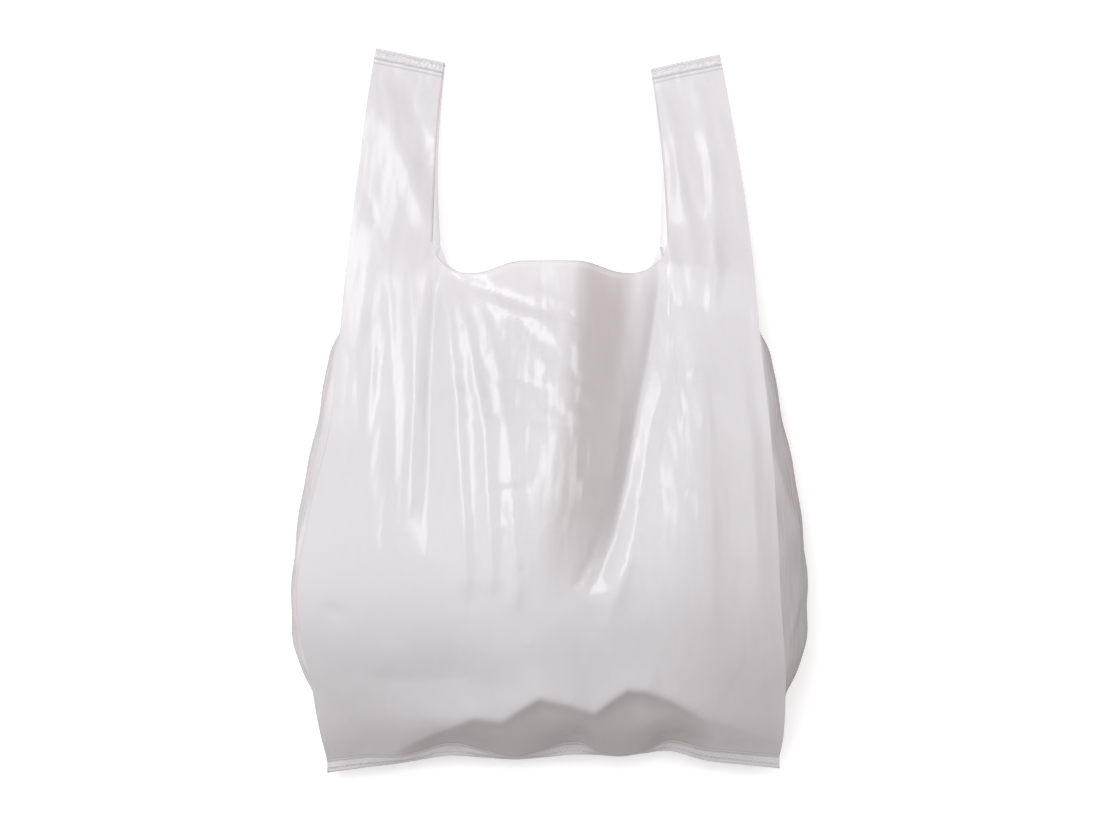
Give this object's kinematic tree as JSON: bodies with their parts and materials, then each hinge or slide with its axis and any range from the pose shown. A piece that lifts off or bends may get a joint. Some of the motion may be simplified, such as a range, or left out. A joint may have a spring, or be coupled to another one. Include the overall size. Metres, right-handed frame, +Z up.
{
  "type": "plastic carrier bag",
  "caption": "Thin white plastic carrier bag with cut-out loop handles and folded side gussets, puffed open and lying on its back panel.",
  "frame": {"origin": "middle of the footprint, on the floor that the back panel lies on", "axes": "+X across the bag, +Y from the bottom seal to the handle tops, +Z up through the back panel to the front panel"},
  "size_m": [0.3254, 0.4666, 0.1119],
  "materials": {
    "film": "soft gloss, slightly milky"
  },
  "bodies": {
    "root": {"film_bag": "film"}
  },
  "joints": []
}
